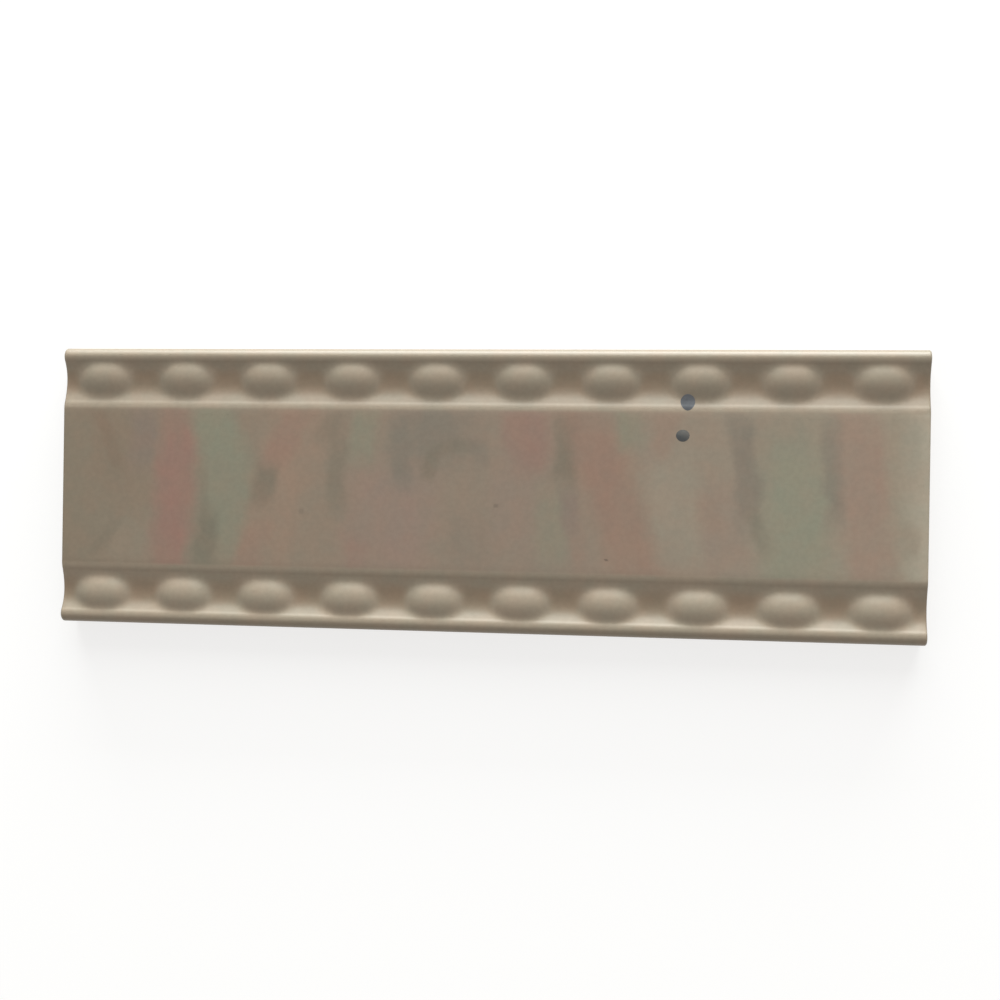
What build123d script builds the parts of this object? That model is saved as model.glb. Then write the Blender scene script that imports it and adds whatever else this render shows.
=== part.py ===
import os
from math import atan, degrees, sin, sqrt

from build123d import *

# Border tile: one dry-pressed, fired and glazed ceramic piece, lying on its back.
# Origin at the middle of the back, X along the border, Y across it, Z up to the glazed face.
# All sizes in millimetres.

# Body
tile_length = 200.0
tile_width = 65.0
tile_height = 9.0  # back to the crests of the beads
end_chamfer = 0.5  # glazed arris along both ends and up the four corners
foot_chamfer = 0.4

# Rims along the two long edges
rim_drop = 0.2  # rim crest below the bead crests
rim_round = 1.8  # outer side
rim_shoulder = 2.7  # inner side, down into the cove

# Coves between the rims and the flat panel
cove_depth = 1.8  # below the rim crest
rim_reach = 5.0  # cove floor out to the rim crest
panel_reach = 7.3  # cove floor in to the panel
panel_drop = 0.3  # panel below the rim crest
panel_lip = 5.5

# Beads: a row of long beads on each cove floor, half a gap at each end so that the border runs on
bead_spacing = 20.0
bead_length = 14.2  # along the cove floor
bead_radius = 6.8  # of the round section and of the round ends
bead_seat = 3.5  # foot of the bead below its crest, sunk in the body
bead_blend = 1.4

# Keying grooves in the back, with a land along the centre line
groove_width = 5.0
groove_land = 4.0
groove_depth = 0.6
groove_margin = 7.0

# Worked out from the sizes above
rim_height = tile_height - rim_drop
panel_height = rim_height - panel_drop
cove_offset = tile_width / 2 - rim_round - rim_reach
rim_turn = 2 * atan(cove_depth / rim_reach)
panel_turn = 2 * atan((cove_depth - panel_drop) / panel_reach)
rim_cove_radius = rim_reach / sin(rim_turn) - rim_shoulder
panel_cove_radius = panel_reach / sin(panel_turn) - panel_lip
bead_rise = cove_depth + rim_drop
bead_straight = bead_length - 2 * sqrt(bead_rise * (2 * bead_radius - bead_rise))
bead_count = round(tile_length / bead_spacing)
bead_pitch = tile_length / bead_count
groove_pitch = groove_width + groove_land
groove_count = 2 * int((tile_width / 2 - groove_margin + groove_land / 2) / groove_pitch)
groove_length = tile_length - 2 * groove_margin

os.makedirs("parts", exist_ok=True)

# One bead: the crown of a round bar with round ends
with BuildPart() as bead:
    with BuildSketch(Plane.XY):
        SlotCenterToCenter(bead_straight, 2 * bead_radius)
        split(bisect_by=Plane.XZ, keep=Keep.BOTTOM)
    revolve(axis=Axis.X, revolution_arc=180)
    split(bisect_by=Plane.XY.offset(bead_radius - bead_seat), keep=Keep.TOP)

with BuildPart() as border_tile:
    # Half of the section, from the centre line of the back round to the middle of the panel
    with BuildSketch(Plane.YZ):
        with BuildLine():
            back = Line((0, 0), (tile_width / 2, 0))
            side = Line(back @ 1, (tile_width / 2, rim_height - rim_round))
            rim = JernArc(side @ 1, side % 1, rim_round, 90)
            shoulder = JernArc(rim @ 1, rim % 1, rim_shoulder, degrees(rim_turn))
            rim_cove = JernArc(shoulder @ 1, shoulder % 1, rim_cove_radius, -degrees(rim_turn))
            panel_cove = JernArc(rim_cove @ 1, rim_cove % 1, panel_cove_radius, -degrees(panel_turn))
            lip = JernArc(panel_cove @ 1, panel_cove % 1, panel_lip, degrees(panel_turn))
            Line(lip @ 1, (0, panel_height))
            mirror(about=Plane.YZ)
        make_face()
    extrude(amount=tile_length / 2, both=True)

    # Beads seated in the coves, with the soft corner that the glaze leaves round each one
    with Locations((0, 0, tile_height - bead_radius)):
        with GridLocations(bead_pitch, 2 * cove_offset, bead_count, 2):
            add(bead.part)
    fillet(border_tile.edges(Select.NEW), bead_blend)

    # Small chamfers along the ends, up the corners and round the foot
    end_edges = border_tile.faces().filter_by(Axis.X).edges()
    glazed_edges = end_edges.filter_by_position(Axis.Z, 0, tile_height, inclusive=(False, True))
    chamfer(glazed_edges, end_chamfer)
    chamfer(border_tile.faces().sort_by(Axis.Z)[0].edges(), foot_chamfer)

    # Keying grooves
    with BuildSketch(Plane.XY):
        with GridLocations(0, groove_pitch, 1, groove_count):
            SlotOverall(groove_length, groove_width)
    extrude(amount=groove_depth, mode=Mode.SUBTRACT)

border_tile.part.label = "border_tile"
export_step(border_tile.part, "parts/border_tile.step")
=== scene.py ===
from math import atan, radians, sin, sqrt

import bpy
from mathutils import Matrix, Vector


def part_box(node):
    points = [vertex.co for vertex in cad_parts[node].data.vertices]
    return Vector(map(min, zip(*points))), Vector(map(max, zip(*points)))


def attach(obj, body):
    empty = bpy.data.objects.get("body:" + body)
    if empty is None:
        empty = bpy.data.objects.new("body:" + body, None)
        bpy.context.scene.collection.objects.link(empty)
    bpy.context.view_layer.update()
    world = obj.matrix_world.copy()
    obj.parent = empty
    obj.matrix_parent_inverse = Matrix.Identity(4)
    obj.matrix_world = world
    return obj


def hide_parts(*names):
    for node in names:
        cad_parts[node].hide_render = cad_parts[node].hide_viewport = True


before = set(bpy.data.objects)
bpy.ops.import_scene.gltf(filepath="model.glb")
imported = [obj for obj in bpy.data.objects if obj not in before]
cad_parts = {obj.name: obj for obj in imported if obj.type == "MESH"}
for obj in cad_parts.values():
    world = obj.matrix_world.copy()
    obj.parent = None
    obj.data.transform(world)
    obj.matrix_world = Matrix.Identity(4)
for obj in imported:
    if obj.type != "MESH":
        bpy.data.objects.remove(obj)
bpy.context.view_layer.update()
mm = 0.001
nearly = 0.01 * mm  # slack when points are picked or merged by their place
tileLow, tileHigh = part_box("border_tile")
tileLength = tileHigh.x - tileLow.x
print("frame loaded, tile", [round(side / mm, 2) for side in tileHigh - tileLow], "mm")


# Small helpers for working in edit mode

def selectOnly(piece):
    bpy.ops.object.select_all(action="DESELECT")
    piece.select_set(True)
    bpy.context.view_layer.objects.active = piece


def clearPick(piece, kind):  # nothing selected, ready to pick points, edges or faces
    selectOnly(piece)
    bpy.ops.object.mode_set(mode="EDIT")
    bpy.ops.mesh.select_mode(type=kind)
    bpy.ops.mesh.select_all(action="DESELECT")
    bpy.ops.object.mode_set(mode="OBJECT")


def pickEdges(piece, wanted):  # leaves the wanted edges selected, in edit mode
    clearPick(piece, "EDGE")
    points = piece.data.vertices
    for edge in piece.data.edges:
        edge.select = wanted(points[edge.vertices[0]].co, points[edge.vertices[1]].co)
    bpy.ops.object.mode_set(mode="EDIT")


def pickFaces(piece, wanted):  # the same for faces
    clearPick(piece, "FACE")
    for face in piece.data.polygons:
        face.select = wanted(face.center, face.normal)
    bpy.ops.object.mode_set(mode="EDIT")


def movePoints(piece, move):  # the whole mesh, so that the origin stays where it is
    selectOnly(piece)
    bpy.ops.object.mode_set(mode="EDIT")
    bpy.ops.mesh.select_all(action="SELECT")
    bpy.ops.transform.translate(value=move)
    bpy.ops.object.mode_set(mode="OBJECT")


def stretchEnds(piece, length):  # draws the two halves of a piece apart along X
    for side in (-1, 1):
        clearPick(piece, "VERT")
        for point in piece.data.vertices:
            point.select = point.co.x * side > nearly
        bpy.ops.object.mode_set(mode="EDIT")
        bpy.ops.transform.translate(value=(side * length / 2, 0, 0))
        bpy.ops.object.mode_set(mode="OBJECT")


def addRow(piece, name, count, step):
    row = piece.modifiers.new(name, "ARRAY")
    row.count = count
    row.use_relative_offset = False
    row.use_constant_offset = True
    row.constant_offset_displace = step
    return row


def addWrap(piece, name, target, upwards):  # moves points straight up or down on to the target
    wrap = piece.modifiers.new(name, "SHRINKWRAP")
    wrap.target = target
    wrap.wrap_method = "PROJECT"
    wrap.use_project_z = True
    wrap.use_positive_direction = upwards
    wrap.use_negative_direction = not upwards
    return wrap


def applyAll(piece):
    selectOnly(piece)
    for modifier in list(piece.modifiers):
        bpy.ops.object.modifier_apply(modifier=modifier.name)


def lineTo(y, z, steps=1):  # draws on from the selected end of a section, by a step across and up
    for step in range(steps):
        move = (0, y / steps, z / steps)
        bpy.ops.mesh.extrude_vertices_move(TRANSFORM_OT_translate={"value": move})


def arcTo(centreY, centreZ, turn, steps):
    bpy.ops.mesh.spin(steps=steps, angle=turn, center=(0, centreY, centreZ), axis=(1, 0, 0))


# Tile body: half a section drawn from the panel out to the back, run along one bead cell

body = {
    "rimDrop": 0.2 * mm,  # rim crest below the bead crests
    "rimRound": 2.0 * mm,  # outer side of the rim
    "rimShoulder": 2.1 * mm,  # inner side, down into the cove
    "rimReach": 5.4 * mm,  # rim crest to cove floor
    "coveDepth": 1.8 * mm,
    "panelDrop": 0.3 * mm,
    "panelReach": 6.7 * mm,  # cove floor to panel
    "panelLip": 4.0 * mm,
    "footChamfer": 0.4 * mm,
    "endRound": 0.5 * mm,
    "endSteps": 4,
    "cells": 10,
    "beadStretch": 17.0 * mm,  # finely divided length of a cell, round the bead
    "beadColumns": 36,
    "panelSteps": 12,
    "lipSteps": 8,
    "panelCoveSteps": 14,
    "rimCoveSteps": 12,
    "shoulderSteps": 6,
    "rimSteps": 8,
    "softenRounds": 36,  # how far the glaze fills the corners round the beads
    "smoothAngle": 32,  # degrees, sharper edges stay crisp
}
bead = {
    "length": 14.4 * mm,  # on the cove floor
    "straight": 3.0 * mm,  # middle stretch between the tapered ends
    "bulge": 8.0 * mm,  # radius of the crown across the row
    "depth": 8.0 * mm,  # half height of the whole form, most of it sunk in the body
    "lean": 0.65 * mm,  # set out from the cove floor, towards the rim
    "segments": 96,
    "rings": 64,
}

rimZ = tileHigh.z - body["rimDrop"]
panelZ = rimZ - body["panelDrop"]
floorZ = rimZ - body["coveDepth"]
panelDepth = body["coveDepth"] - body["panelDrop"]
rimTurn = 2 * atan(body["coveDepth"] / body["rimReach"])
panelTurn = 2 * atan(panelDepth / body["panelReach"])
rimCove = body["rimReach"] / sin(rimTurn) - body["rimShoulder"]
panelCove = body["panelReach"] / sin(panelTurn) - body["panelLip"]
crestY = tileHigh.y - body["rimRound"]
beadRow = crestY - body["rimReach"]
panelEdge = beadRow - body["panelReach"]
cellLength = tileLength / body["cells"]
beadRise = body["rimDrop"] + body["coveDepth"]
beadTaper = bead["length"] - bead["straight"]
beadHalf = beadTaper / 2 / sqrt(1 - (1 - beadRise / bead["depth"]) ** 2)


def drawHalfSection():
    bpy.ops.object.select_all(action="DESELECT")
    bpy.ops.mesh.primitive_plane_add(size=mm)
    piece = bpy.context.object
    piece.name = "glazed_tile"
    piece.data.name = "glazed_tile"
    bpy.ops.object.mode_set(mode="EDIT")
    bpy.ops.mesh.select_mode(type="VERT")
    bpy.ops.mesh.select_all(action="SELECT")
    bpy.ops.mesh.merge(type="CENTER")
    bpy.ops.transform.translate(value=(-cellLength / 2, 0, panelZ))
    lineTo(panelEdge, 0, body["panelSteps"])
    arcTo(panelEdge, panelZ - body["panelLip"], panelTurn, body["lipSteps"])
    arcTo(beadRow, floorZ + panelCove, -panelTurn, body["panelCoveSteps"])
    arcTo(beadRow, floorZ + rimCove, -rimTurn, body["rimCoveSteps"])
    arcTo(crestY, rimZ - body["rimShoulder"], rimTurn, body["shoulderSteps"])
    arcTo(crestY, rimZ - body["rimRound"], radians(90), body["rimSteps"])
    foot = body["footChamfer"]
    lineTo(0, -(rimZ - body["rimRound"] - foot))
    lineTo(-foot, -foot)
    lineTo(-(tileHigh.y - foot), 0)
    bpy.ops.object.mode_set(mode="OBJECT")
    return piece


def runCell(piece):  # wide end columns, and a fine stretch for the bead between them
    ends = (cellLength - body["beadStretch"]) / 2
    selectOnly(piece)
    bpy.ops.object.mode_set(mode="EDIT")
    bpy.ops.mesh.select_all(action="SELECT")
    for stretch in (ends, body["beadStretch"], ends):
        bpy.ops.mesh.extrude_region_move(TRANSFORM_OT_translate={"value": (stretch, 0, 0)})
    bpy.ops.object.mode_set(mode="OBJECT")
    reach = body["beadStretch"] / 2 + nearly
    pickEdges(piece, lambda a, b: abs(a.x - b.x) > mm and abs(a.x) < reach and abs(b.x) < reach)
    bpy.ops.mesh.subdivide(number_cuts=body["beadColumns"] - 1)
    bpy.ops.object.mode_set(mode="OBJECT")


def pressBead(piece):  # lifts the cove on to a long bead that stands in it
    bpy.ops.object.select_all(action="DESELECT")
    bpy.ops.mesh.primitive_uv_sphere_add(segments=bead["segments"], ring_count=bead["rings"], radius=1)
    form = bpy.context.object
    bpy.ops.object.mode_set(mode="EDIT")
    bpy.ops.mesh.select_all(action="SELECT")
    bpy.ops.transform.resize(value=(beadHalf, sqrt(bead["bulge"] * bead["depth"]), bead["depth"]))
    bpy.ops.transform.translate(value=(0, beadRow + bead["lean"], tileHigh.z - bead["depth"]))
    bpy.ops.object.mode_set(mode="OBJECT")
    stretchEnds(form, bead["straight"])
    cove = piece.vertex_groups.new(name="cove")
    for point in piece.data.vertices:
        if panelEdge < point.co.y < crestY and point.co.z > floorZ / 2:
            cove.add([point.index], 1.0, "REPLACE")
    press = addWrap(piece, "press bead", form, True)
    press.vertex_group = "cove"
    applyAll(piece)
    bpy.data.objects.remove(form)


def repeatCells(piece):  # along the tile and to its other side
    movePoints(piece, (tileLow.x + cellLength / 2, 0, 0))
    row = addRow(piece, "bead row", body["cells"], (cellLength, 0, 0))
    row.use_merge_vertices = True
    row.merge_threshold = nearly
    other = piece.modifiers.new("other side", "MIRROR")
    other.use_axis = (False, True, False)
    other.merge_threshold = nearly
    soften = piece.modifiers.new("glaze fill", "SMOOTH")
    soften.vertex_group = "cove"
    soften.use_x = False
    soften.use_y = False
    soften.factor = 0.5
    soften.iterations = body["softenRounds"]
    applyAll(piece)


def closeBody(piece):  # end faces with a soft arris, and one plain back
    selectOnly(piece)
    bpy.ops.object.mode_set(mode="EDIT")
    bpy.ops.mesh.select_mode(type="VERT")
    bpy.ops.mesh.select_all(action="SELECT")
    bpy.ops.mesh.remove_doubles(threshold=nearly / 2)
    bpy.ops.mesh.select_all(action="DESELECT")
    bpy.ops.mesh.select_non_manifold(extend=False, use_wire=False, use_multi_face=False,
                                     use_non_contiguous=False, use_verts=False)
    bpy.ops.mesh.fill_holes(sides=0)
    bpy.ops.mesh.select_all(action="SELECT")
    bpy.ops.mesh.normals_make_consistent(inside=False)
    bpy.ops.object.mode_set(mode="OBJECT")
    nearEnd = tileHigh.x - nearly
    pickEdges(piece, lambda a, b: min(abs(a.x), abs(b.x)) > nearEnd)
    bpy.ops.mesh.bevel(offset=body["endRound"], segments=body["endSteps"], affect="EDGES")
    bpy.ops.object.mode_set(mode="OBJECT")
    pickFaces(piece, lambda centre, normal: normal.z < -0.99 and centre.z < nearly)
    bpy.ops.mesh.dissolve_faces()
    bpy.ops.object.mode_set(mode="OBJECT")


groove = {
    "count": 6,
    "width": 5.0 * mm,
    "land": 4.0 * mm,  # between two grooves
    "depth": 0.6 * mm,
    "margin": 7.0 * mm,  # from the ends of the tile
    "points": 32,  # round one cutter
}


def cutGrooves(piece):  # keying grooves with round ends, in the back
    bpy.ops.object.select_all(action="DESELECT")
    bpy.ops.mesh.primitive_cylinder_add(vertices=groove["points"], radius=groove["width"] / 2,
                                        depth=2 * groove["depth"])
    cutter = bpy.context.object
    straight = (tileHigh.x - groove["margin"]) * 2 - groove["width"]
    stretchEnds(cutter, straight)
    pitch = groove["width"] + groove["land"]
    movePoints(cutter, (0, -pitch * (groove["count"] - 1) / 2, 0))
    addRow(cutter, "rows", groove["count"], (0, pitch, 0))
    applyAll(cutter)
    cut = piece.modifiers.new("grooves", "BOOLEAN")
    cut.operation = "DIFFERENCE"
    cut.solver = "EXACT"
    cut.object = cutter
    applyAll(piece)
    bpy.data.objects.remove(cutter)


tile = drawHalfSection()
runCell(tile)
pressBead(tile)
repeatCells(tile)
closeBody(tile)
cutGrooves(tile)
selectOnly(tile)
bpy.ops.object.shade_smooth_by_angle(angle=radians(body["smoothAngle"]))
tile.vertex_groups.clear()
print("tile body", len(tile.data.polygons), "faces, bead row at", round(beadRow / mm, 2),
      "panel edge at", round(panelEdge / mm, 2))


# Node helpers

def toLinear(rgb):
    parts = [part / 255 for part in rgb]
    return tuple(p / 12.92 if p <= 0.04045 else ((p + 0.055) / 1.055) ** 2.4 for p in parts) + (1.0,)


def feed(tree, socket, value):  # a number or colour is set, an output is linked
    if isinstance(value, bpy.types.NodeSocket):
        tree.links.new(value, socket)
    else:
        socket.default_value = value


def calc(tree, operation, first, second=0.0):
    node = tree.nodes.new("ShaderNodeMath")
    node.operation = operation
    feed(tree, node.inputs[0], first)
    feed(tree, node.inputs[1], second)
    return node.outputs[0]


def fade(tree, value, start, end, fromValue=0.0, toValue=1.0):
    node = tree.nodes.new("ShaderNodeMapRange")
    node.interpolation_type = "SMOOTHSTEP"
    for name, number in (("Value", value), ("From Min", start), ("From Max", end),
                         ("To Min", fromValue), ("To Max", toValue)):
        feed(tree, node.inputs[name], number)
    return node.outputs["Result"]


def blend(tree, amount, under, over, how="MIX"):
    node = tree.nodes.new("ShaderNodeMix")
    node.data_type = "RGBA"
    node.blend_type = how
    feed(tree, node.inputs[0], amount)
    feed(tree, node.inputs[6], under)
    feed(tree, node.inputs[7], over)
    return node.outputs[2]


def noise(tree, place, scale, detail, stretch=(1, 1, 1)):
    squash = tree.nodes.new("ShaderNodeMapping")
    squash.inputs["Scale"].default_value = stretch
    node = tree.nodes.new("ShaderNodeTexNoise")
    node.inputs["Scale"].default_value = scale
    node.inputs["Detail"].default_value = detail
    tree.links.new(place, squash.inputs["Vector"])
    tree.links.new(squash.outputs[0], node.inputs["Vector"])
    return node


def splitUp(tree, place):  # X, Y and Z of a place
    node = tree.nodes.new("ShaderNodeSeparateXYZ")
    tree.links.new(place, node.inputs[0])
    return node.outputs


def objectPlace(tree):  # place on the piece, in millimetres
    place = tree.nodes.new("ShaderNodeTexCoord")
    scale = tree.nodes.new("ShaderNodeMapping")
    scale.inputs["Scale"].default_value = (1 / mm, 1 / mm, 1 / mm)
    tree.links.new(place.outputs["Object"], scale.inputs["Vector"])
    return scale.outputs[0]


# Glaze: soft washes of colour on the panel, a paler border, bare clay at the foot

glaze = {
    "groundsAndEndHighlight": (  # under the washes, by x in mm from the left end to the right end; lighter towards the right, and the last stop is a painted highlight along the right end
        (-100, (133, 121, 104)),
        (-40, (140, 126, 110)),
        (20, (142, 127, 112)),
        (60, (147, 134, 118)),
        (93, (151, 140, 123)),
        # painted highlight along the lit right end
        (99, (168, 159, 142)),
    ),
    "border": (151, 139, 122),
    "borderBlur": 0.6,  # mm to each side of the panel's edge
    "coveShade": (0.88, 0.80, 0.735, 1),  # painted shade: how much darker the glaze is made in the coves
    "coveShadeDepth": 0.75,  # mm above the cove floor where the painted shade fades out
    "coolCloud": (0.97, 0.995, 1.0, 1),  # faint blotches in the glaze
    "warmCloud": (1.035, 0.995, 0.985, 1),
    "mottle": (0.97, 1.03),  # fine unevenness of tone
    "clay": (203, 181, 154),
    "clayTop": 2.6,  # mm above the back
    "roughness": 0.43,
    "clayRoughness": 0.85,
    "refraction": 1.55,
    "wander": 5.0,  # mm of play in a wash's outline
    "density": (0.65, 1.15),  # thinnest and thickest paint within a wash
    "washSides": (0.35, 1.2),  # a wash fades between these shares of its half width
    "washEnds": (0.35, 1.25),  # and of its half length
    "wanderGrain": (0.12, 5.0),  # scale for each mm and detail of the noise
    "densityGrain": (0.16, 3.0),
    "densityStretch": (1, 0.35, 1),  # drawn out along the brush strokes
    "cloudGrain": (0.2, 5.0),
    "mottleGrain": (0.9, 4.0),
    "clayGrain": (0.25, 3.0),
    "pink": (147, 116, 104),
    "coral": (146, 121, 106),
    "blush": (151, 130, 115),
    "tan": (147, 127, 110),
    "rose": (145, 125, 113),
    "green": (134, 133, 115),
    "mint": (140, 138, 120),
    "olive": (119, 111, 96),
    "slate": (125, 117, 105),
    "mauve": (132, 117, 107),
    "brown": (130, 112, 95),
    "beige": (152, 143, 127),
    "dark": (66, 58, 52),
}
washes = [  # paint, middle x and y in mm, half width and half length, lean, bow, strength; broad ones first
    ("brown", -86.0, 9.0, 8.5, 13.0, -0.2, 0, 0.25),
    ("beige", -83.0, -13.0, 8.0, 7.0, 0.0, 0, 0.25),
    ("tan", -46.5, 2.0, 9.0, 23.0, 0.30, 0, 0.95),
    ("rose", -20.5, -6.0, 12.5, 14.0, 0.05, 0, 0.85),
    ("slate", -9.5, 13.0, 12.0, 9.0, 0.0, 0, 0.70),
    ("slate", -1.5, -12.0, 6.5, 7.5, 0.0, 0, 0.40),
    ("rose", 8.0, -3.0, 6.0, 12.0, 0.0, 0, 0.40),
    ("tan", 31.0, -1.0, 9.5, 23.0, -0.30, 0, 0.70),
    ("beige", 44.5, -3.0, 7.5, 16.0, -0.1, 0, 0.55),
    ("rose", 55.5, -7.0, 6.0, 12.0, -0.1, 0, 0.38),
    ("slate", 68.0, 9.0, 9.0, 9.0, 0.0, 0, 0.25),
    ("brown", -88.0, 10.5, 2.4, 7.5, -0.45, 0, 0.55),
    ("olive", -88.8, -11.5, 2.4, 5.5, 0.60, 0, 0.40),
    ("mauve", -80.2, 11.5, 4.0, 9.0, 0.0, 0, 0.70),
    ("pink", -72.2, -1.5, 6.2, 26.0, 0.05, 0, 1.00),
    ("green", -59.6, 2.0, 7.0, 25.0, -0.06, -0.014, 0.95),
    ("olive", -64.4, -12.0, 3.6, 7.6, 0.12, 0, 0.75),
    ("olive", -64.6, -1.0, 1.6, 8.0, 0.0, 0, 0.30),
    ("olive", -50.7, 1.2, 3.9, 6.6, 0.08, 0, 0.72),
    ("coral", -44.8, 12.2, 4.8, 7.5, 0.55, 0, 0.75),
    ("coral", -53.1, -13.7, 4.0, 6.5, 0.30, 0, 0.55),
    ("olive", -34.8, 14.0, 3.0, 4.5, 0.60, 0, 0.35),
    ("olive", -33.0, 4.0, 3.2, 12.0, 0.05, 0, 0.45),
    ("green", -26.7, 13.0, 3.8, 7.5, 0.10, 0, 0.75),
    ("pink", -28.5, -14.5, 3.4, 5.5, 0.0, 0, 0.40),
    ("slate", -18.2, 8.0, 3.0, 9.5, -0.10, 0, 0.80),
    ("olive", -11.3, 6.0, 2.0, 4.0, 0.30, 0, 0.60),
    ("olive", -5.0, 9.6, 6.0, 2.2, 0.0, 0, 0.55),
    ("slate", 0.4, 9.2, 2.8, 3.2, 0.0, 0, 0.75),
    ("pink", 11.2, 12.0, 6.2, 8.5, -0.08, 0, 0.80),
    ("olive", 20.0, 9.5, 3.4, 10.5, 0.0, 0, 0.70),
    ("green", 17.2, -8.5, 4.2, 10.5, -0.05, 0, 0.65),
    ("mauve", 20.9, -5.0, 2.6, 5.5, -0.1, 0, 0.65),
    ("coral", 23.4, -13.0, 2.4, 5.5, -0.2, 0, 0.45),
    ("coral", 30.2, 0.0, 7.0, 23.0, -0.36, 0, 0.90),
    ("green", 34.5, 14.6, 3.6, 5.0, 0.0, 0, 0.65),
    ("coral", 41.6, 12.5, 3.4, 7.0, 0.3, 0, 0.45),
    ("tan", 52.0, -4.0, 4.0, 5.0, 0.0, 0, 0.30),
    ("slate", 60.4, 5.5, 3.4, 14.0, -0.12, -0.006, 0.95),
    ("olive", 63.6, -8.5, 2.4, 6.0, -0.35, 0, 0.55),
    ("mint", 71.8, -6.0, 9.8, 23.0, -0.03, 0, 1.00),
    ("slate", 79.5, 5.5, 3.0, 14.0, -0.06, 0, 0.85),
    ("blush", 86.3, -1.5, 6.4, 26.0, -0.12, 0, 1.00),
    ("beige", 96.2, 9.0, 3.6, 10.0, 0.0, 0, 0.50),
    ("olive", 95.9, -9.5, 2.4, 4.5, 0.0, 0, 0.30),
]
specks = [  # small dark marks, listed in the same way
    ("dark", -40.5, 19.5, 0.45, 0.32, 0, 0, 0.8),
    ("dark", -41.4, -5.3, 0.7, 0.8, 0, 0, 0.14),
    ("dark", 4.2, -3.3, 0.7, 0.5, 0, 0, 0.25),
    ("dark", 29.5, -15.1, 0.5, 0.3, -0.6, 0, 0.5),
]
washInputs = ("Middle X", "Middle Y", "Half Width", "Half Length", "Lean", "Bow", "Strength")


def washGroup():  # one soft wash of paint laid over the colour under it
    tree = bpy.data.node_groups.new("wash", "ShaderNodeTree")
    kinds = {"Under": "Color", "Paint": "Color", "Place": "Vector", "Density": "Float"}
    for name in (*kinds, *washInputs):
        kind = kinds.get(name, "Float")
        tree.interface.new_socket(name=name, in_out="INPUT", socket_type="NodeSocket" + kind)
    tree.interface.new_socket(name="Colour", in_out="OUTPUT", socket_type="NodeSocketColor")
    start = tree.nodes.new("NodeGroupInput").outputs
    end = tree.nodes.new("NodeGroupOutput")
    at = splitUp(tree, start["Place"])
    along = calc(tree, "SUBTRACT", at["Y"], start["Middle Y"])
    curve = calc(tree, "MULTIPLY", calc(tree, "MULTIPLY", along, along), start["Bow"])
    line = calc(tree, "ADD", calc(tree, "MULTIPLY", along, start["Lean"]), curve)
    across = calc(tree, "SUBTRACT", calc(tree, "SUBTRACT", at["X"], start["Middle X"]), line)
    width = calc(tree, "DIVIDE", calc(tree, "ABSOLUTE", across), start["Half Width"])
    length = calc(tree, "DIVIDE", calc(tree, "ABSOLUTE", along), start["Half Length"])
    sides = fade(tree, width, *glaze["washSides"], 1.0, 0.0)
    ends = fade(tree, length, *glaze["washEnds"], 1.0, 0.0)
    mask = calc(tree, "MULTIPLY", sides, ends)
    amount = calc(tree, "MULTIPLY", calc(tree, "MULTIPLY", mask, start["Strength"]), start["Density"])
    tree.links.new(blend(tree, amount, start["Under"], start["Paint"]), end.inputs["Colour"])
    return tree


def layWash(tree, group, under, place, density, wash):
    node = tree.nodes.new("ShaderNodeGroup")
    node.node_tree = group
    paint, *numbers = wash
    for name, value in (("Under", under), ("Paint", toLinear(glaze[paint])), ("Place", place),
                        ("Density", density), *zip(washInputs, numbers)):
        feed(tree, node.inputs[name], value)
    return node.outputs[0]


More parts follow.
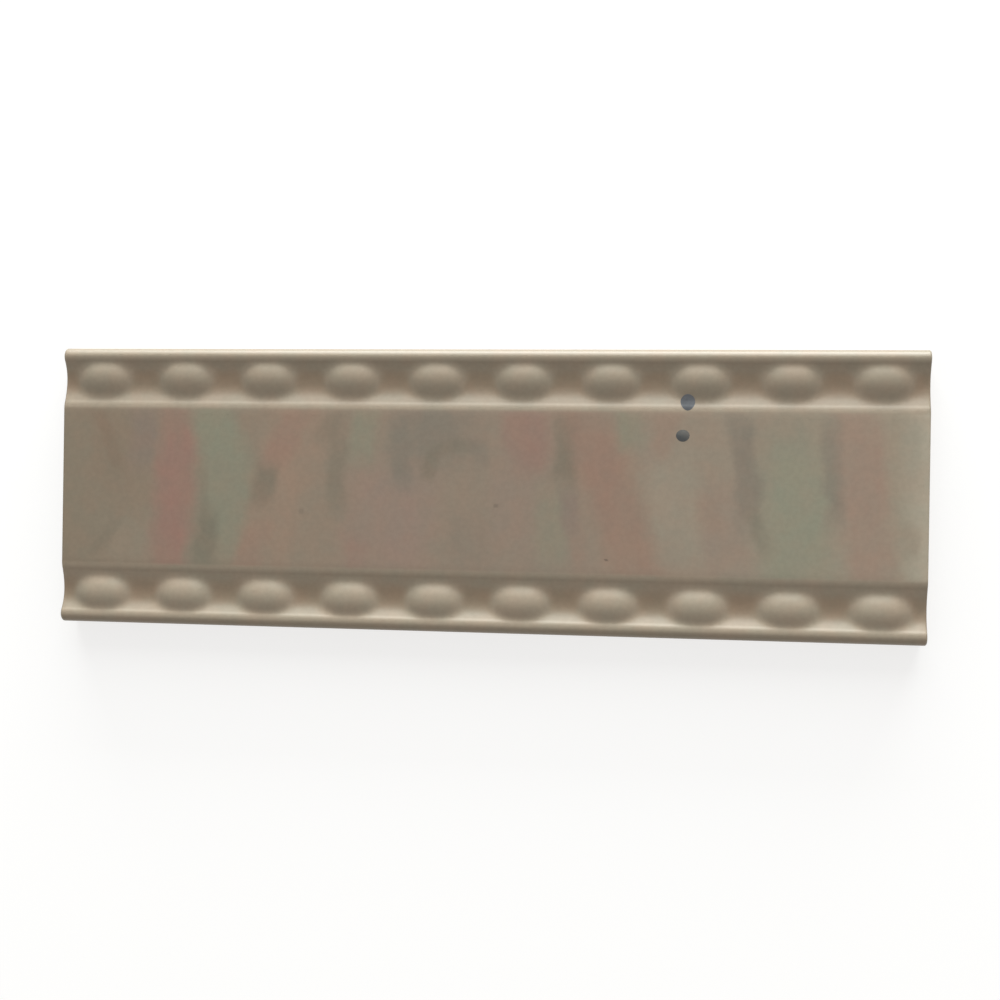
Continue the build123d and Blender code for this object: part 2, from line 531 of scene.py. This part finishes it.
def glazeMaterial():
    material = bpy.data.materials.new("satin glaze")
    material.use_nodes = True
    tree = material.node_tree
    shader = tree.nodes["Principled BSDF"]
    shader.inputs["IOR"].default_value = glaze["refraction"]
    place = objectPlace(tree)
    at = splitUp(tree, place)

    # Ground colour along the tile, lighter towards the right, with a painted highlight at the right end
    groundAndEndHighlight = tree.nodes.new("ShaderNodeValToRGB")
    stops = groundAndEndHighlight.color_ramp.elements
    for index, (x, colour) in enumerate(glaze["groundsAndEndHighlight"]):
        stop = stops[index] if index < 2 else stops.new(1.0)  # a new ramp has two stops
        stop.position = x * mm / tileLength + 0.5
        stop.color = toLinear(colour)
    along = calc(tree, "MULTIPLY", at["X"], mm / tileLength)
    tree.links.new(calc(tree, "ADD", along, 0.5), groundAndEndHighlight.inputs[0])

    # Washes with wandering edges, then the specks
    strayBy = tree.nodes.new("ShaderNodeVectorMath")
    strayBy.operation = "MULTIPLY_ADD"
    tree.links.new(noise(tree, place, *glaze["wanderGrain"]).outputs["Color"], strayBy.inputs[0])
    strayBy.inputs[1].default_value = (glaze["wander"],) * 3
    strayBy.inputs[2].default_value = (-glaze["wander"] / 2,) * 3
    strayed = tree.nodes.new("ShaderNodeVectorMath")
    tree.links.new(place, strayed.inputs[0])
    tree.links.new(strayBy.outputs[0], strayed.inputs[1])
    streaks = noise(tree, place, *glaze["densityGrain"], glaze["densityStretch"]).outputs[0]
    density = fade(tree, streaks, 0.25, 0.75, *glaze["density"])
    group = washGroup()
    colour = groundAndEndHighlight.outputs[0]
    for wash in washes:
        colour = layWash(tree, group, colour, strayed.outputs[0], density, wash)
    for speck in specks:
        colour = layWash(tree, group, colour, place, 1.0, speck)

    # Plain border, with painted shade darkening the coves
    side = calc(tree, "ABSOLUTE", at["Y"])
    edge = fade(tree, side, panelEdge / mm - glaze["borderBlur"], panelEdge / mm + glaze["borderBlur"])
    colour = blend(tree, edge, colour, toLinear(glaze["border"]))
    # painted shade in the coves, strongest on the cove floor
    coveShaded = fade(tree, at["Z"], floorZ / mm, floorZ / mm + glaze["coveShadeDepth"], 1.0, 0.0)
    colour = blend(tree, coveShaded, colour, glaze["coveShade"], "MULTIPLY")

    # Blotches, mottle and the bare clay at the foot
    cloud = fade(tree, noise(tree, place, *glaze["cloudGrain"]).outputs[0], 0.3, 0.7)
    clouded = blend(tree, cloud, glaze["coolCloud"], glaze["warmCloud"])
    colour = blend(tree, 1.0, colour, clouded, "MULTIPLY")
    fine = noise(tree, place, *glaze["mottleGrain"]).outputs[0]
    mottle = fade(tree, fine, 0.3, 0.7, *glaze["mottle"])
    colour = blend(tree, 1.0, colour, mottle, "MULTIPLY")
    ragged = calc(tree, "ADD", at["Z"], noise(tree, place, *glaze["clayGrain"]).outputs[0])
    bare = fade(tree, ragged, glaze["clayTop"] + 0.4, glaze["clayTop"] + 0.6, 1.0, 0.0)  # noise near 0.5
    colour = blend(tree, bare, colour, toLinear(glaze["clay"]))
    tree.links.new(colour, shader.inputs["Base Color"])
    roughness = fade(tree, bare, 0.0, 1.0, glaze["roughness"], glaze["clayRoughness"])
    tree.links.new(roughness, shader.inputs["Roughness"])
    return material


tile.data.materials.clear()
tile.data.materials.append(glazeMaterial())
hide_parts("border_tile")
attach(tile, "root")
print("glaze on")


# Two dried drops of blue-grey ink on the glaze

ink = {
    "points": 48,
    "rings": 6,
    "ringWidth": 0.14,  # share of a drop's half size
    "edge": 0.1,  # share of the rise that is left at the outline
    "sink": 0.4 * mm,  # underside below the face of the glaze
    "clearance": 5 * mm,  # a drop is laid on from this far above the tile
    "slant": 0.6,  # the painted light side is up and to the right
    "shadeToLight": (-0.9, 1.5),  # mm from the middle, painted shade to painted light
    "grain": (1.1, 3.0),  # scale for each mm and detail of the noise
    "grainReach": 2.0,  # mm that the noise shifts the painted light and shade
    "taperFrom": -0.9,  # low end of a round drop of half size 1
    "taperReach": 1.4,  # how far up from it the taper fades out
    "roughness": 0.5,
    "smoothAngle": 50,  # degrees
}
# each drop's colour runs from a painted shade side to a painted light side
drops = [
    {"name": "ink_drop_upper", "at": (47.2 * mm, 20.6 * mm), "half": (1.65 * mm, 1.85 * mm), "taper": 0.86,
     "rise": 0.10 * mm, "shadeSide": (74, 78, 84), "lightSide": (103, 107, 113)},
    {"name": "ink_drop_lower", "at": (46.2 * mm, 13.1 * mm), "half": (1.52 * mm, 1.34 * mm), "taper": 0.95,
     "rise": 0.12 * mm, "shadeSide": (75, 78, 80), "lightSide": (96, 95, 92)},
]


def inkMaterial(drop):
    material = bpy.data.materials.new(drop["name"])
    material.use_nodes = True
    tree = material.node_tree
    shader = tree.nodes["Principled BSDF"]
    shader.inputs["Roughness"].default_value = ink["roughness"]
    place = objectPlace(tree)
    at = splitUp(tree, place)
    across = calc(tree, "SUBTRACT", at["X"], drop["at"][0] / mm)
    along = calc(tree, "SUBTRACT", at["Y"], drop["at"][1] / mm)
    uphill = calc(tree, "ADD", calc(tree, "MULTIPLY", across, ink["slant"]), along)
    grain = calc(tree, "SUBTRACT", noise(tree, place, *ink["grain"]).outputs[0], 0.5)
    uneven = calc(tree, "ADD", uphill, calc(tree, "MULTIPLY", grain, ink["grainReach"]))
    # painted light and shade: lighter up and to the right, darker low and to the left
    lightSide = fade(tree, uneven, *ink["shadeToLight"])
    colour = blend(tree, lightSide, toLinear(drop["shadeSide"]), toLinear(drop["lightSide"]))
    tree.links.new(colour, shader.inputs["Base Color"])
    return material


def layDrop(drop):  # a disc laid on to the glaze and raised to a low dome
    bpy.ops.object.select_all(action="DESELECT")
    bpy.ops.mesh.primitive_circle_add(vertices=ink["points"], radius=1, fill_type="NGON")
    piece = bpy.context.object
    piece.name = drop["name"]
    piece.data.name = drop["name"]
    bpy.ops.object.mode_set(mode="EDIT")
    bpy.ops.mesh.select_mode(type="FACE")
    bpy.ops.mesh.select_all(action="SELECT")
    for ring in range(ink["rings"]):
        bpy.ops.mesh.inset(thickness=ink["ringWidth"])
    bpy.ops.mesh.poke()
    bpy.ops.object.mode_set(mode="OBJECT")
    dome = piece.vertex_groups.new(name="dome")
    for point in piece.data.vertices:
        dome.add([point.index], max(ink["edge"], 1 - point.co.xy.length ** 2), "REPLACE")
    pickEdges(piece, lambda a, b: max(a.y, b.y) < ink["taperFrom"])
    bpy.ops.transform.resize(value=(drop["taper"], 1, 1), use_proportional_edit=True,
                             proportional_edit_falloff="SMOOTH", proportional_size=ink["taperReach"])
    bpy.ops.mesh.select_all(action="SELECT")
    bpy.ops.transform.resize(value=(*drop["half"], 1))
    bpy.ops.transform.translate(value=(*drop["at"], tileHigh.z + ink["clearance"]))
    bpy.ops.object.mode_set(mode="OBJECT")
    addWrap(piece, "drape", tile, False)
    swell = piece.modifiers.new("swell", "DISPLACE")
    swell.direction = "Z"
    swell.mid_level = 0.0
    swell.strength = drop["rise"]
    swell.vertex_group = "dome"
    under = piece.modifiers.new("underside", "SOLIDIFY")
    under.thickness = ink["sink"]
    under.offset = -1.0
    applyAll(piece)
    bpy.ops.object.shade_smooth_by_angle(angle=radians(ink["smoothAngle"]))
    piece.vertex_groups.clear()
    piece.data.materials.append(inkMaterial(drop))
    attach(piece, "root")


for drop in drops:
    layDrop(drop)
print("ink drops laid")


# Floor, light and camera

studio = {
    "ambient": 0.47,
    "ambientColour": (1, 0.955, 0.90, 1),
    "lampColour": (0.95, 0.985, 0.97),
    "windowPlace": (0.05, 1.5, 0.22),  # low and strong, rakes across the relief
    "windowSize": (1.5, 0.41),
    "windowPower": 39.5,
    "skyPlace": (0.05, 1.5, 1.12),  # above it, gives the satin sheen
    "skySize": (1.5, 1.37),
    "skyPower": 25.0,
    "floorSize": 6.0,
    "floorColour": (0.32, 0.32, 0.32, 1),
    "floorGlow": 0.72,  # brings the floor up to white where it is looked at
}


def floorMaterial():
    material = bpy.data.materials.new("white floor")
    material.use_nodes = True
    tree = material.node_tree
    tree.nodes.clear()
    output = tree.nodes.new("ShaderNodeOutputMaterial")
    matt = tree.nodes.new("ShaderNodeBsdfDiffuse")
    matt.inputs["Color"].default_value = studio["floorColour"]
    glow = tree.nodes.new("ShaderNodeEmission")
    glow.inputs["Color"].default_value = (1, 1, 1, 1)
    both = tree.nodes.new("ShaderNodeAddShader")
    ray = tree.nodes.new("ShaderNodeLightPath").outputs
    seen = calc(tree, "MAXIMUM", ray["Is Camera Ray"], ray["Is Glossy Ray"])
    seen = calc(tree, "MAXIMUM", seen, ray["Is Transmission Ray"])
    tree.links.new(calc(tree, "MULTIPLY", seen, studio["floorGlow"]), glow.inputs["Strength"])
    tree.links.new(matt.outputs[0], both.inputs[0])
    tree.links.new(glow.outputs[0], both.inputs[1])
    tree.links.new(both.outputs[0], output.inputs["Surface"])
    return material


def layFloor():
    bpy.ops.object.select_all(action="DESELECT")
    bpy.ops.mesh.primitive_plane_add(size=studio["floorSize"])
    floor = bpy.context.object
    floor.name = "floor"
    floor.data.materials.append(floorMaterial())


def lightWorld():
    world = bpy.data.worlds.new("studio")
    bpy.context.scene.world = world
    world.use_nodes = True
    nodes = world.node_tree.nodes
    links = world.node_tree.links
    soft = nodes["Background"]
    soft.inputs["Color"].default_value = studio["ambientColour"]
    soft.inputs["Strength"].default_value = studio["ambient"]
    white = nodes.new("ShaderNodeBackground")
    white.inputs["Color"].default_value = (1, 1, 1, 1)
    path = nodes.new("ShaderNodeLightPath")
    mix = nodes.new("ShaderNodeMixShader")
    links.new(path.outputs["Is Camera Ray"], mix.inputs["Fac"])
    links.new(soft.outputs[0], mix.inputs[1])
    links.new(white.outputs[0], mix.inputs[2])
    links.new(mix.outputs[0], nodes["World Output"].inputs["Surface"])


def hangLight(name):  # upright soft light beyond the far edge
    lamp = bpy.data.lights.new(name, "AREA")
    lamp.shape = "RECTANGLE"
    lamp.size, lamp.size_y = studio[name + "Size"]
    lamp.energy = studio[name + "Power"]
    lamp.color = studio["lampColour"]
    holder = bpy.data.objects.new(name, lamp)
    bpy.context.scene.collection.objects.link(holder)
    place = Vector(studio[name + "Place"])
    holder.location = place
    holder.rotation_euler = Vector((place.x, place.y, 0)).to_track_quat("Z", "Y").to_euler()


view = {
    "place": (48.48 * mm, -0.70 * mm, 324.41 * mm),
    "turn": (-0.1, 7.812, 0.92),  # degrees, from looking straight down with +Y up
    "lens": 50.4,
    "sensor": 36.0,
    "clip": 0.01,
}


def setCamera():
    lens = bpy.data.cameras.new("camera")
    lens.lens = view["lens"]
    lens.sensor_width = view["sensor"]
    lens.clip_start = view["clip"]
    camera = bpy.data.objects.new("camera", lens)
    bpy.context.scene.collection.objects.link(camera)
    camera.location = view["place"]
    camera.rotation_euler = [radians(angle) for angle in view["turn"]]
    bpy.context.scene.camera = camera


layFloor()
lightWorld()
hangLight("window")
hangLight("sky")
setCamera()
bpy.context.scene.view_settings.view_transform = "Standard"
print("studio set")
